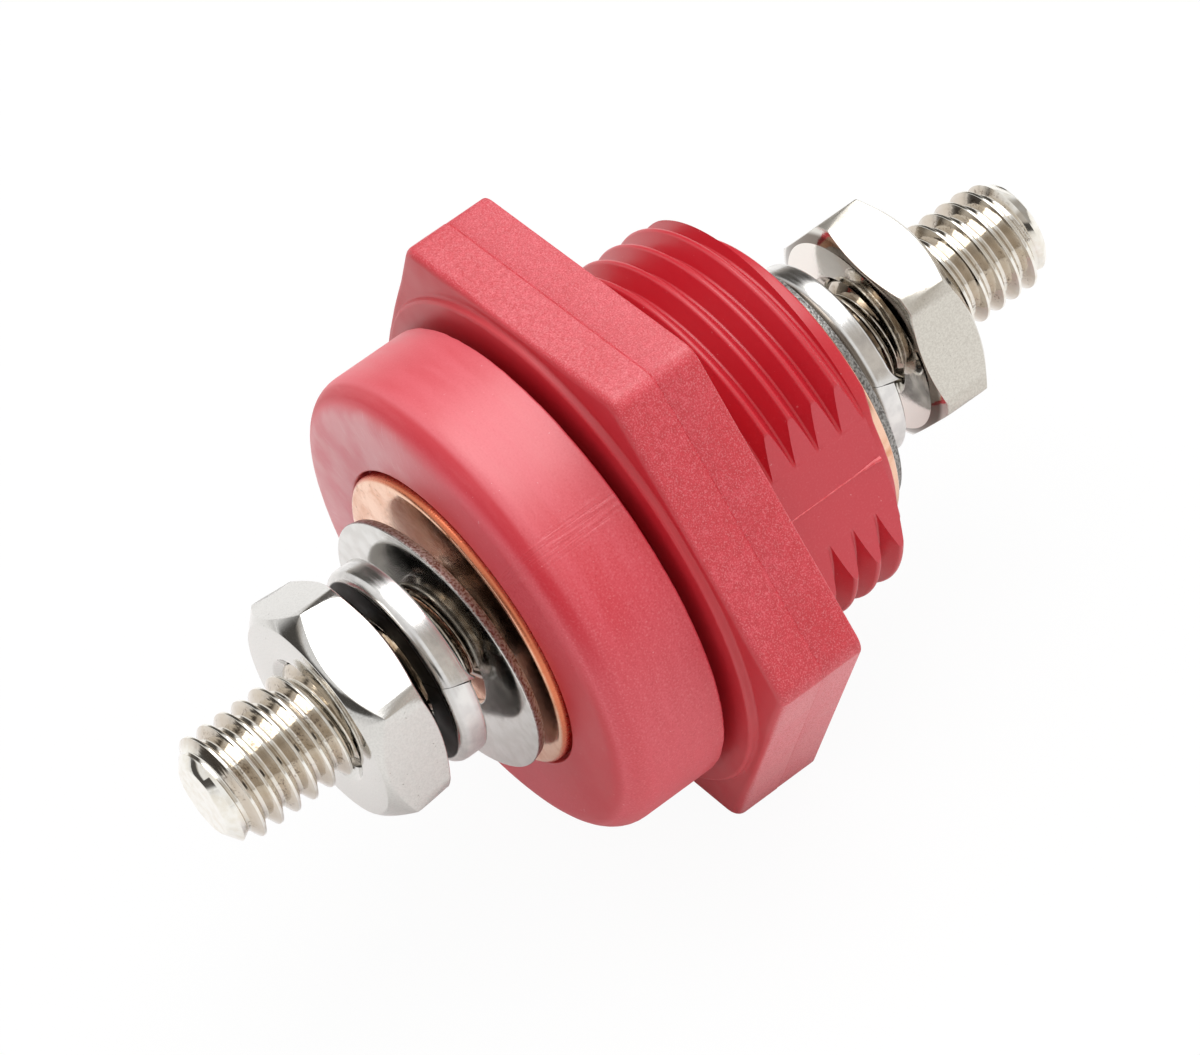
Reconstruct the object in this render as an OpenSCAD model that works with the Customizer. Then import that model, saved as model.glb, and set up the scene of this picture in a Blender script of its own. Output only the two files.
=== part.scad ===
// Feed-through stud: a threaded stud that carries current through a panel.
// The stud lies along Y with its front toward -Y, Z is up, and the panel seat is at Y = 0.
// All lengths are in millimetres and all turns are in degrees about the stud.

/* [Stud] */
// Outside diameter of the stud's thread
stud_d = 9.25; // [6:0.05:14]
// Length of the stud in front of the panel seat
stud_front = 33; // [28:0.5:60]
// Length of the stud behind the panel seat
stud_back = 45.8; // [40:0.2:80]
// Length of the cone at the stud's front end
stud_front_tip = 1.3; // [0.5:0.1:4]
// How far the front cone draws the stud's radius in
stud_front_in = 1.7; // [0.3:0.1:2]
// Length of the cone at the stud's back end
stud_back_tip = 1.7; // [0.4:0.1:4]
// How far the back cone draws the stud's radius in
stud_back_in = 0.95; // [0.2:0.1:2]
// Pitch of the stud's thread
stud_pitch = 1.5875; // [1:0.0005:3]
// Depth of the stud's thread
stud_thread_depth = 0.9; // [0.4:0.05:1.4]
// Width of the stud thread's crest
stud_crest = 0.24; // [0.1:0.02:0.4]
// Width of the stud thread's bottom
stud_bottom = 0.34; // [0.1:0.02:0.5]
// Turn of the start of the stud's thread
stud_thread_turn = 304.1; // [0:0.1:360]
// How far the thread runs into the bush at both ends
stud_thread_in = 1; // [0.5:0.1:4]
// How far the plain shank inside the bush stands above the thread
stud_shank_over = 0.02; // [0.01:0.01:0.3]

/* [Copper bush] */
// Outside diameter of the copper bush
bush_d = 25.5; // [18:0.1:32]
// How far the bush stands proud of the head
bush_front_proud = 0.6; // [0.2:0.1:2]
// How far the bush stands proud of the barrel's end
bush_back_proud = 0.4; // [0.2:0.1:2]
// Width of the broken edge on the bush's two rims
bush_edge = 0.3; // [0.1:0.05:1]
// Radial room between the stud's shank and the bush
bush_bore_room = 0.02; // [0.01:0.01:0.3]

/* [Housing] */
// Diameter of the round head
head_d = 39.9; // [36:0.1:60]
// Thickness of the head
head_t = 8.9; // [6:0.1:16]
// Radius of the head's rounded front edge
head_edge = 2.5; // [1:0.1:5]
// Width of the broken edge of the head beside the panel seat
head_back_edge = 0.4; // [0.1:0.1:1]
// Radial room between the bush and the housing
housing_bore_room = 0.02; // [0.01:0.01:0.3]
// Wall of the barrel between the bush and the middle of a flat
barrel_wall = 1.53; // [1:0.01:4]
// How far the flats lie below the bottom of the thread
flat_depth = 0.5; // [0.1:0.05:1]
// Depth of the barrel's thread
thread_depth = 1.5; // [0.8:0.05:2.5]
// Pitch of the barrel's thread
thread_pitch = 2.209; // [1.5:0.001:4]
// Width of the thread's crest
thread_crest = 0.36; // [0.1:0.02:0.6]
// Width of the thread's bottom
thread_bottom = 0.24; // [0.1:0.02:0.6]
// Turn of the start of the thread
thread_turn = 219.3; // [0:0.1:360]
// Length of the threaded part of the barrel
thread_len = 21.2; // [16:0.1:40]
// Width of the broken edge at the thread's end
thread_edge = 0.3; // [0.2:0.1:1.2]
// Turn of the two flats from upright
flat_turn = 79.1; // [0:0.1:180]
// Length of the plain collar at the barrel's end
collar_len = 1.55; // [0.5:0.05:4]
// Wall of the collar around the bush
collar_wall = 0.8; // [0.4:0.05:2]

/* [Panel nut] */
// Distance across the panel nut's flats
panel_nut_af = 44.5; // [38:0.1:60]
// Thickness of the hexagon
panel_nut_t = 7.65; // [4:0.05:16]
// Radius of the hexagon's corners
panel_nut_corner = 1.6; // [0.4:0.1:4]
// Diameter of the round face toward the panel
panel_face_d = 43; // [37:0.1:56]
// Height of the round face
panel_face_t = 0.65; // [0.2:0.05:2]
// Space for the panel between the head and the panel nut
panel_space = 1.1; // [0.5:0.1:10]
// Radial room between the panel nut and the thread's crest
panel_nut_room = 0.1; // [0.05:0.01:0.3]

/* [Terminal nuts] */
// Distance across the flats of the two terminal nuts
nut_af = 17.46; // [15:0.01:22]
// Thickness of a terminal nut
nut_t = 5.5; // [3:0.1:9]
// Radius of the nut's flat outer face
nut_face_r = 8.4; // [7:0.05:8.7]
// Depth of the cone at the corners of the outer face
nut_cone = 1.6; // [0.5:0.05:2.2]
// Depth of the cone at the corners of the inner face
nut_back_cone = 0.85; // [0.2:0.05:1.2]
// Width of the countersink in both faces
nut_sink = 0.7; // [0.2:0.05:1.2]
// Radial room between the stud and the nuts
nut_room = 0.06; // [0.02:0.01:0.1]
// Turn of the front nut
front_nut_turn = 30; // [0:0.1:60]
// Turn of the back nut
back_nut_turn = 15.2; // [0:0.1:60]

/* [Flat washers] */
// Diameter of the flat washers
washer_d = 22.4; // [18:0.1:25]
// Thickness of the flat washers
washer_t = 0.8; // [0.6:0.05:2.5]
// Radial room between the stud and the flat washers
washer_room = 0.72; // [0.4:0.01:0.9]
// Room that a hanging washer keeps from the stud
hang_room = 0.08; // [0.05:0.01:0.2]
// Turn of the side toward which the washers hang
hang_turn = 134; // [0:1:360]
// Lean of the front flat washer
front_lean = 3.7; // [0:0.1:5]
// Space between the bush and the middle of the front flat washer
front_washer_space = 1.4; // [1:0.05:6]
// Space between the bush and the back flat washer
back_washer_space = 0.02; // [0.01:0.01:6]

/* [Lock washers] */
// Diameter of the split lock washers
lock_d = 17; // [14:0.1:20]
// Thickness of the split lock washers
lock_t = 2.15; // [1.2:0.05:3]
// Radial room between the stud and the lock washers
lock_room = 0.3; // [0.2:0.01:0.6]
// Rise of a lock washer from one end of its split to the other
lock_rise = 0.3; // [0.1:0.05:2]
// Angle that the split leaves open
lock_split = 0.8; // [0.4:0.1:20]
// Slant of the split from one face of the ring to the other
lock_slant = 5; // [0:0.5:15]
// Turn of the front split
front_split_turn = 339; // [0:1:360]
// Turn of the back split
back_split_turn = 341; // [0:1:360]
// Space between the front flat washer and the front lock washer
front_lock_space = 1.55; // [1.3:0.05:4]
// Space between the front lock washer and the front nut
front_nut_space = 1.5; // [0.6:0.05:4]
// Space between the back flat washer and the back lock washer
back_lock_space = 1.2; // [0.6:0.05:4]
// Space between the back lock washer and the back nut
back_nut_space = 2.55; // [0.6:0.05:5]

/* [Hidden] */
$fn = 96;
cut = 0.5;

// Facets around one turn of the barrel's thread
thread_facets = 48;
// Facets around one turn of the stud's thread
stud_facets = 20;
// Facets around a lock washer
lock_facets = 72;
// Turns of thread that the rod has before it is trimmed
thread_spare = 3;

stud_r = stud_d / 2;
shank_r = stud_r + stud_shank_over;
bush_r = bush_d / 2;
head_r = head_d / 2;
flat_r = bush_r + housing_bore_room + barrel_wall;
bottom_r = flat_r + flat_depth;
crest_r = bottom_r + thread_depth;
barrel_thread = [thread_pitch, bottom_r, thread_bottom, crest_r, thread_crest];
stud_thread = [stud_pitch, stud_r - stud_thread_depth, stud_bottom, stud_r, stud_crest];
collar_r = bush_r + housing_bore_room + collar_wall;
barrel_len = thread_len + collar_len;
bush_front = -head_t - bush_front_proud;
bush_back = barrel_len + bush_back_proud;
panel_face_y = panel_space;
panel_hex_y = panel_face_y + panel_face_t;
panel_bore_r = crest_r + panel_nut_room;
nut_corner_r = nut_af / 2 / cos(30);
nut_bore_r = stud_r + nut_room;
washer_bore_r = stud_r + washer_room;
washer_drop = washer_room - hang_room;
lock_bore_r = stud_r + lock_room;
lock_drop = lock_room - hang_room;

front_washer_y = bush_front - front_washer_space - washer_t;
front_lock_y = front_washer_y - front_lock_space - lock_t;
front_nut_y = front_lock_y - front_nut_space;
back_washer_y = bush_back + back_washer_space;
back_lock_y = back_washer_y + washer_t + back_lock_space;
back_nut_y = back_lock_y + lock_t + back_nut_space;

steel = [0.78, 0.77, 0.75];
nickel = [0.82, 0.78, 0.70];
copper = [0.80, 0.48, 0.30];
red = [0.80, 0.22, 0.26];

// Lays what is drawn upright along the stud, at a distance behind the panel seat
module along(y) {
    translate([0, y, 0])
        rotate([-90, 0, 0])
            children();
}

// A thread is its pitch, the radius and width of its bottom, and the radius and width of its crest
function thread_row(thread, q) =
    q == 0 ? [-thread[2] / 2, thread[1]] :
    q == 1 ? [thread[2] / 2, thread[1]] :
    q == 2 ? [thread[0] / 2 - thread[4] / 2, thread[3]] :
             [thread[0] / 2 + thread[4] / 2, thread[3]];

// A point of a rod's thread: column i goes around, row j goes up four to a turn
function thread_point(thread, facets, start, i, j) =
    let (row = thread_row(thread, j % 4))
    let (turn = 360 * i / facets - start)
    [row[1] * cos(turn), row[1] * sin(turn),
     thread[0] * (i / facets + floor(j / 4) - thread_spare) + row[0]];

// A closed rod with one right-handed thread, longer at both ends than the length that it serves
module thread_rod(thread, facets, start, length) {
    rows = 4 * (ceil(length / thread[0]) + 2 * thread_spare);
    first = [for (j = [0 : rows + 3]) thread_point(thread, facets, start, 0, j)];
    rest = [for (i = [1 : facets - 1]) for (j = [0 : rows - 1])
        thread_point(thread, facets, start, i, j)];
    count = len(first) + len(rest);
    low = [0, 0, -thread[0] * (thread_spare - 0.5)];
    high = [0, 0, thread[0] * (rows / 4 - thread_spare + 0.5)];
    function at(i, j) = i == facets ? j + 4 : i == 0 ? j : rows + 4 + (i - 1) * rows + j;
    low_rim = concat([for (i = [0 : facets]) at(i, 0)], [3, 2, 1, 0]);
    high_rim = concat([for (i = [0 : facets]) at(i, rows - 1)],
                      [rows + 2, rows + 1, rows, rows - 1]);
    polyhedron(
        points = concat(first, rest, [low, high]),
        faces = concat(
            [for (i = [0 : facets - 1]) for (j = [0 : rows - 2])
                [at(i, j), at(i, j + 1), at(i + 1, j + 1)]],
            [for (i = [0 : facets - 1]) for (j = [0 : rows - 2])
                [at(i, j), at(i + 1, j + 1), at(i + 1, j)]],
            [for (k = [0 : len(low_rim) - 2]) [count, low_rim[k], low_rim[k + 1]]],
            [for (k = [0 : len(high_rim) - 2]) [count + 1, high_rim[k + 1], high_rim[k]]]
        )
    );
}

// The threaded barrel with its two flats
module barrel() {
    intersection() {
        thread_rod(barrel_thread, thread_facets, thread_turn, thread_len);
        rotate_extrude()
            polygon([
                [0, -cut],
                [crest_r + cut, -cut],
                [crest_r + cut, thread_len - thread_edge - cut],
                [crest_r - thread_edge, thread_len],
                [0, thread_len]
            ]);
        rotate([0, 0, flat_turn - 90])
            translate([0, 0, thread_len / 2])
                cube([2 * flat_r, 4 * crest_r, 2 * thread_len], center = true);
    }
}

// The round head, standing in front of the panel seat
module head() {
    rotate_extrude()
        union() {
            polygon([
                [0, -head_t],
                [head_r - head_edge, -head_t],
                [head_r - head_edge, -head_t + head_edge],
                [head_r, -head_t + head_edge],
                [head_r, -head_back_edge],
                [head_r - head_back_edge, 0],
                [0, 0]
            ]);
            translate([head_r - head_edge, -head_t + head_edge])
                circle(head_edge);
        }
}

module housing() {
    color(red)
        along(0)
            difference() {
                union() {
                    head();
                    barrel();
                    translate([0, 0, thread_len - cut])
                        cylinder(r = collar_r, h = collar_len + cut);
                }
                translate([0, 0, -head_t - cut])
                    cylinder(r = bush_r + housing_bore_room, h = head_t + barrel_len + 2 * cut);
            }
}

module bush() {
    length = bush_back - bush_front;
    bore = shank_r + bush_bore_room;
    color(copper)
        along(bush_front)
            rotate_extrude()
                polygon([
                    [bore, 0],
                    [bush_r - bush_edge, 0],
                    [bush_r, bush_edge],
                    [bush_r, length - bush_edge],
                    [bush_r - bush_edge, length],
                    [bore, length]
                ]);
}

module stud() {
    length = stud_front + stud_back;
    front_slope = stud_front_in / stud_front_tip;
    back_slope = stud_back_in / stud_back_tip;
    color(nickel) {
        along(-stud_front)
            intersection() {
                thread_rod(stud_thread, stud_facets, stud_thread_turn, length);
                rotate_extrude()
                    polygon([
                        [0, 0],
                        [stud_r - stud_front_in, 0],
                        [stud_r + cut, stud_front_tip + cut / front_slope],
                        [stud_r + cut, length - stud_back_tip - cut / back_slope],
                        [stud_r - stud_back_in, length],
                        [0, length]
                    ]);
            }
        along(bush_front + stud_thread_in)
            cylinder(r = shank_r, h = bush_back - bush_front - 2 * stud_thread_in);
    }
}

// A hexagon with round corners
module round_hexagon(af, corner) {
    reach = (af / 2 - corner) / cos(30);
    polygon([for (k = [0 : 5]) for (side = [-30, 30])
        [reach * cos(60 * k) + corner * cos(60 * k + side),
         reach * sin(60 * k) + corner * sin(60 * k + side)]]);
    for (k = [0 : 5])
        rotate([0, 0, 60 * k])
            translate([reach, 0])
                circle(corner);
}

module panel_nut() {
    height = panel_face_t + panel_nut_t;
    color(red)
        along(panel_face_y)
            difference() {
                union() {
                    cylinder(d = panel_face_d, h = panel_face_t + cut);
                    translate([0, 0, panel_face_t])
                        linear_extrude(panel_nut_t)
                            round_hexagon(panel_nut_af, panel_nut_corner);
                }
                translate([0, 0, -cut])
                    cylinder(r = panel_bore_r, h = height + 2 * cut);
            }
}

// A terminal nut with its inner face at zero and its outer face up
module terminal_nut(turn) {
    far = nut_corner_r + cut;
    slope = nut_cone / (nut_corner_r - nut_face_r);
    back_slope = nut_back_cone / (nut_corner_r - nut_face_r);
    difference() {
        intersection() {
            rotate([0, 0, turn])
                cylinder(r = nut_corner_r, h = nut_t, $fn = 6);
            rotate_extrude()
                polygon([
                    [0, 0],
                    [nut_face_r, 0],
                    [far, back_slope * (far - nut_face_r)],
                    [far, nut_t - slope * (far - nut_face_r)],
                    [nut_face_r, nut_t],
                    [0, nut_t]
                ]);
        }
        translate([0, 0, -cut])
            cylinder(r = nut_bore_r, h = nut_t + 2 * cut);
        translate([0, 0, nut_t - nut_sink])
            cylinder(r1 = nut_bore_r, r2 = nut_bore_r + nut_sink + cut, h = nut_sink + cut);
        translate([0, 0, -cut])
            cylinder(r1 = nut_bore_r + nut_sink + cut, r2 = nut_bore_r, h = nut_sink + cut);
    }
}

module front_nut() {
    color(steel)
        along(front_nut_y)
            rotate([180, 0, 0])
                terminal_nut(front_nut_turn);
}

module back_nut() {
    color(steel)
        along(back_nut_y)
            terminal_nut(back_nut_turn);
}

// A flat washer from zero up
module flat_washer() {
    difference() {
        cylinder(d = washer_d, h = washer_t);
        translate([0, 0, -cut])
            cylinder(r = washer_bore_r, h = washer_t + 2 * cut);
    }
}

// Lets a loose ring hang by its hole
module hang(drop) {
    translate([drop * sin(hang_turn), 0, drop * cos(hang_turn)])
        children();
}

module front_washer() {
    color(steel)
        hang(washer_drop)
            along(front_washer_y + washer_t / 2)
                rotate([0, -front_lean, 0])
                    translate([0, 0, -washer_t / 2])
                        flat_washer();
}

module back_washer() {
    color(steel)
        hang(washer_drop)
            along(back_washer_y)
                flat_washer();
}

// A split ring that rises along its turn, from zero up
module lock_ring(split_turn) {
    sweep = 360 - lock_split;
    corners = [[lock_bore_r, 0], [lock_d / 2, 0], [lock_d / 2, 1], [lock_bore_r, 1]];
    points = [for (i = [0 : lock_facets]) for (c = corners)
        let (part = i / lock_facets)
        let (turn = split_turn + lock_split / 2 + sweep * part + lock_slant * (c[1] - 0.5))
        [c[0] * cos(turn), c[0] * sin(turn), lock_rise * (part - 0.5) + lock_t * c[1]]];
    last = 4 * lock_facets;
    polyhedron(
        points = points,
        faces = concat(
            [for (i = [0 : lock_facets - 1]) for (k = [0 : 3])
                [4 * i + k, 4 * i + 4 + k, 4 * i + (k + 1) % 4]],
            [for (i = [0 : lock_facets - 1]) for (k = [0 : 3])
                [4 * i + (k + 1) % 4, 4 * i + 4 + k, 4 * i + 4 + (k + 1) % 4]],
            [[0, 1, 2], [0, 2, 3]],
            [[last + 3, last + 2, last + 1], [last + 3, last + 1, last]]
        )
    );
}

module front_lock() {
    color(steel)
        hang(lock_drop)
            along(front_lock_y)
                lock_ring(front_split_turn);
}

module back_lock() {
    color(steel)
        hang(lock_drop)
            along(back_lock_y)
                lock_ring(back_split_turn);
}

stud();
bush();
housing();
panel_nut();
front_washer();
front_lock();
front_nut();
back_washer();
back_lock();
back_nut();
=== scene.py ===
# The looks of the feed-through stud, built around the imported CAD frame.
# Shapes are drawn in millimetres about the stud and become metres in piece().
# A turn is an angle in degrees about +Y, from +Z towards +X. The stud's front end is at -Y.
import math

import bmesh
import bpy
import numpy as np
from mathutils import Matrix, Vector


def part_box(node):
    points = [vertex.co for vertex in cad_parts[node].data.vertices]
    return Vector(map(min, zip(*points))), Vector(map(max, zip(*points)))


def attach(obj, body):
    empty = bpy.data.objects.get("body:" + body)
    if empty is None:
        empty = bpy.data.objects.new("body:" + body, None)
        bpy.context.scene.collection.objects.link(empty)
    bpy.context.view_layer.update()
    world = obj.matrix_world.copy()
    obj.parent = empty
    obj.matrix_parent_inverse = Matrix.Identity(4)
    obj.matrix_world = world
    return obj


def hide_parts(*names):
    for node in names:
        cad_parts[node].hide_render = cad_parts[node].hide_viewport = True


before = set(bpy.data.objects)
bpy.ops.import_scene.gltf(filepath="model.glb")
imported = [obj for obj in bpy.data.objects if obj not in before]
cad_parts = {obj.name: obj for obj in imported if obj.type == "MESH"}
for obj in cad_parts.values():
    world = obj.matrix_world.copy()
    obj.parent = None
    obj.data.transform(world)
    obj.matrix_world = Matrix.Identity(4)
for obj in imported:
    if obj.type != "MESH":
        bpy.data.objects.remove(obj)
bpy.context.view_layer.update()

MM = 0.001
MERGE = 2e-7          # points closer than this become one, in metres
SHARP = 34.0          # edges that bend more than this stay sharp, in degrees
TINY = 1e-9
STRAIGHT, FOLDED = 89.0, 1.0    # half angles past which a corner is not made round, in degrees
SIDE_SHARE = 0.49     # how much of a side one round may take
ROUND_STEPS = 128     # columns of the turned pieces


# ---------------------------------------------------------------- sizes

# Stud
STUD_R = 4.625
STUD_PITCH = 1.5875
STUD_ROOT_R = 3.72
STUD_GROOVE = dict(bottom=0.34, crest=0.22, bottom_round=0.14, crest_round=0.06)
STUD_GROOVE_TURN = 133.8        # where the groove's middle crosses STUD_GROOVE_Y
STUD_GROOVE_Y = -29.085 + STUD_PITCH / 2
STUD_FRONT_TIP, STUD_FRONT_IN = 1.3, 1.7    # the front cone's length, and how far it goes in
STUD_BACK_TIP, STUD_BACK_IN = 1.7, 0.95
STUD_TIP_T = 0.6                # the front cone is plain up to here, and then the thread starts
STUD_TIP_ROUND, STUD_TIP_RIM = 0.3, 0.4     # a rim is the last ring of points on an end face
STUD_BACK_ROUND, STUD_BACK_RIM = 0.14, 0.08
STUD_STEPS = 80                 # columns around the stud

# Copper bush
BUSH_R, BUSH_BORE_R = 12.75, 4.665
BUSH_FRONT_ROUND, BUSH_BACK_ROUND, BUSH_BORE_ROUND = 0.5, 0.3, 0.15

# Housing
HEAD_R, HEAD_T, HEAD_EDGE, HEAD_BACK_EDGE = 19.95, 8.9, 2.5, 0.22
HEAD_BURR, HEAD_BURR_IN = 0.03, 0.3     # how rough the head's rear edge is, and how far in
HEAD_BURR_MIN, HEAD_BURR_MAX, HEAD_BURR_SEED = -1, 1.5, 3
HEAD_RING_Y = -0.5              # a ring of points that the rough edge does not reach
SEAT_R = 17.0                   # the inner edge of the panel's seat, just outside the thread
HOUSING_BORE_R = 12.77
MOUTH_R, MOUTH_DEPTH, MOUTH_ROUND = 13.0, 1.2, 0.2
THREAD_LEN, THREAD_PITCH = 21.2, 2.209
THREAD_ROOT_R, THREAD_CREST_R, THREAD_END_EDGE = 14.8, 16.3, 0.3
THREAD_GROOVE = dict(bottom=0.26, crest=0.38, bottom_round=0.12, crest_round=0.4)
THREAD_GROOVE_TURN = -129.3     # where the groove's middle crosses the panel seat
FLAT_R, FLAT_TURN = 14.3, 79.1
FLAT_REACH = 60                 # a flat cuts nothing further than this from its middle, in degrees
CUT_NEAR, CUT_FAR, CUT_STEP = 14.25, 30.0, 0.75     # where it cuts the thread, and the columns there
FLAT_STEPS, PLAIN_STEPS = (-10, -5, 0, 5, 10), 49   # columns on a flat and between the flats
COLLAR_R, COLLAR_ROUND, COLLAR_BORE_ROUND, BARREL_LEN = 13.57, 0.2, 0.1, 22.75
COLLAR_DIP, COLLAR_DIP_TURN = 0.6, 88.0     # the collar's short side, where copper shows
COLLAR_DIP_HALF, COLLAR_DIP_FADE = 18.0, 12.0
SLACK = 0.01

# The thin ridge that the mould leaves along each flat
FLASH_START, FLASH_SHORT, FLASH_STATIONS = 9.6, 0.05, 46
FLASH_SECTION = [(-1, 0), (-0.5, 0.8), (0.1, 1), (0.6, 0.7), (1, 0)]    # shares of width and height
FLASH_SUNK = 0.06               # how deep its foot lies in the flat
FLASH_H, FLASH_H_ROUGH, FLASH_W, FLASH_W_ROUGH, FLASH_DRIFT = 0.035, 0.025, 0.05, 0.03, 0.012
FLASH_TEAR_T, FLASH_TEAR_FADE = 2.4, 2.0    # the length of its torn end, and how soon that is full
FLASH_TEAR_H, FLASH_TEAR_ROUGH, FLASH_TEAR_W = 0.1, 0.12, 0.16
RIGHT_FLASH_SEED, LEFT_FLASH_SEED = 5, 8

# Panel nut
PANEL_AF, PANEL_CORNER, PANEL_BORE_R, PANEL_BORE_EDGE = 44.5, 1.7, 16.4, 0.5
PANEL_FACE_R, PANEL_FACE_Y, PANEL_HEX_Y, PANEL_BACK_Y = 21.5, 1.1, 1.75, 9.4
PANEL_LIP_IN, PANEL_LIP_OUT = 0.05, 0.12    # the front lip is narrower at its face than at its foot
PANEL_LIP_ROUND, PANEL_FOOT_ROUND, PANEL_FOOT_ROOM = 0.32, 0.25, 0.1
PANEL_EDGE, PANEL_BACK_EDGE = 0.75, 0.22
PANEL_SEAM_Y, PANEL_SEAM_HALF, PANEL_SEAM_STEP, PANEL_SEAM_DEPTH = 5.7, 0.1, 0.03, 0.09

# Terminal nuts
NUT_AF, NUT_T, NUT_CORNER, NUT_FACE_R = 17.46, 5.5, 0.22, 8.4
NUT_BORE_R, NUT_SINK = 4.685, 0.7
NUT_BACK_SLOPE = 0.51
NUT_HEEL_R, NUT_HEEL_T, NUT_HEEL_STEP = 9.68, 2.8, 0.15     # corners are blunt towards the washer
NUT_ROUND, NUT_SIDE_ROUND, NUT_TOP_ROUND = 0.1, 0.12, 0.2
FRONT_NUT_FLAT, BACK_NUT_FLAT = 30.0, 15.2
FRONT_NUT_SLOPE, BACK_NUT_SLOPE = 0.95, 0.78

# Washers
WASHER_R, WASHER_BORE_R, WASHER_T, WASHER_TAPER = 11.2, 5.345, 0.8, 0.2
WASHER_BORE_ROUND, WASHER_FRONT_ROUND, WASHER_BACK_ROUND = 0.12, 0.14, 0.06
HANG_TURN, WASHER_DROP, LOCK_DROP = 134.0, 0.64, 0.22
FRONT_LEAN = 3.7
FRONT_WASHER_Y = -11.3
BACK_WASHER_OFF = 0.3           # how far the back washer stands off the copper
LOCK_R, LOCK_BORE_R, LOCK_BORE_ROUND, LOCK_STATIONS = 8.5, 4.8, 0.25, 161
LOCK_RISE, LOCK_SPLIT, LOCK_SLANT = 0.06, 0.1, 5.0
LOCK_INSET = 0.15               # how far a ring's face lies in from the face of its solid
LOCK_TANG, LOCK_TANG_PART = 0.45, 0.025     # how far, and for what share, the ring's end is bent out
LOCK_TANG_FROM = 0.6            # the share of the thickness from which it is bent
FRONT_SPLIT_TURN, BACK_SPLIT_TURN = 69.0, 71.0
FRONT_LOCK_ROUNDS, BACK_LOCK_ROUNDS = (0.85, 0.2), (0.9, 0.3)


# ---------------------------------------------------------------- outlines and skins

def spot(r, turn, y):
    """Points at a radius, a turn in degrees and a distance along the stud."""
    r, turn, y = np.broadcast_arrays(r, np.radians(turn), y)
    return np.stack([r * np.sin(turn), y, r * np.cos(turn)], -1)


def rounded_corner(before, corner, after, radius, steps):
    """A corner of an outline as an arc, as large as its two sides leave room for."""
    a, b = before - corner, after - corner
    long_a, long_b = np.linalg.norm(a), np.linalg.norm(b)
    if min(long_a, long_b) < TINY:
        return [corner] * (steps + 1)
    a, b = a / long_a, b / long_b
    half = math.acos(max(-1.0, min(1.0, float(a @ b)))) / 2
    if half > math.radians(STRAIGHT) or half < math.radians(FOLDED):
        return [corner] * (steps + 1)
    reach = min(radius / math.tan(half), SIDE_SHARE * long_a, SIDE_SHARE * long_b)
    middle = corner + (a + b) / np.linalg.norm(a + b) * reach / math.cos(half)
    start, end = corner + a * reach - middle, corner + b * reach - middle
    sweep = math.pi - 2 * half
    return [middle + (math.sin((1 - t) * sweep) * start + math.sin(t * sweep) * end) / math.sin(sweep)
            for t in np.linspace(0, 1, steps + 1)]


def outline(corners, steps):
    """An outline from corners (r, y), or (r, y, radius) where the corner is round."""
    spots = [np.array(c[:2], float) for c in corners]
    points = []
    for k, corner in enumerate(corners):
        if len(corner) == 3:
            after = spots[(k + 1) % len(spots)]
            points += rounded_corner(spots[k - 1], spots[k], after, corner[2], steps)
        else:
            points.append(spots[k])
    return np.array(points)


def skin(columns, rows, closed=True, thread=None):
    """Faces of a grid of columns around the stud. The rows of a thread, (first, last, shift),
    meet the first column again a whole pitch further on."""
    def at(i, j):
        j %= rows
        if i == columns:
            i = 0
            if thread and thread[0] <= j <= thread[1]:
                j = min(j + thread[2], thread[1])
        return i * rows + j
    lines = rows if closed else rows - 1
    return [(at(i, j), at(i, j + 1), at(i + 1, j + 1), at(i + 1, j))
            for i in range(columns) for j in range(lines)]


def bar(stations, rows):
    """Faces of a bar through a row of equal outlines, closed at both ends."""
    faces = [(k * rows + j, k * rows + (j + 1) % rows,
              (k + 1) * rows + (j + 1) % rows, (k + 1) * rows + j)
             for k in range(stations - 1) for j in range(rows)]
    return faces + [tuple(range(rows)), tuple(range((stations - 1) * rows, stations * rows))]


def lathe(profile):
    """A closed outline turned about the stud."""
    turns = np.linspace(0, 360, ROUND_STEPS, endpoint=False)
    points = spot(profile[None, :, 0], turns[:, None], profile[None, :, 1])
    return points.reshape(-1, 3), skin(ROUND_STEPS, len(profile))


def hexagon(af, corner, flat_turn, arc_steps, flat_steps):
    """Turn and radius of points around a hexagon with round corners."""
    reach = (af / 2 - corner) / math.cos(math.radians(30))
    points = []
    for k in range(6):
        middle = flat_turn + 30 + 60 * k
        arc = [spot(reach, middle, 0) + spot(corner, middle + d, 0)
               for d in np.linspace(-30, 30, arc_steps + 1)]
        start = spot(reach, middle + 60, 0) + spot(corner, middle + 30, 0)
        flat = [arc[-1] + (start - arc[-1]) * t for t in np.linspace(0, 1, flat_steps + 2)[1:-1]]
        points += arc + flat
    points = np.array(points)
    return np.degrees(np.arctan2(points[:, 0], points[:, 2])), np.hypot(points[:, 0], points[:, 2])


def half_thread(pitch, root_r, crest_r, bottom, crest, bottom_round, crest_round, steps):
    """Half a thread's outline, from the middle of its groove to the middle of its crest."""
    points = outline([
        (-bottom / 2, root_r), (bottom / 2, root_r, bottom_round),
        (pitch / 2 - crest / 2, crest_r, crest_round), (pitch / 2 + crest / 2, crest_r)], steps)
    points[0, 0], points[-1, 0] = 0, pitch / 2
    return points[:, 0], points[:, 1]


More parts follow.
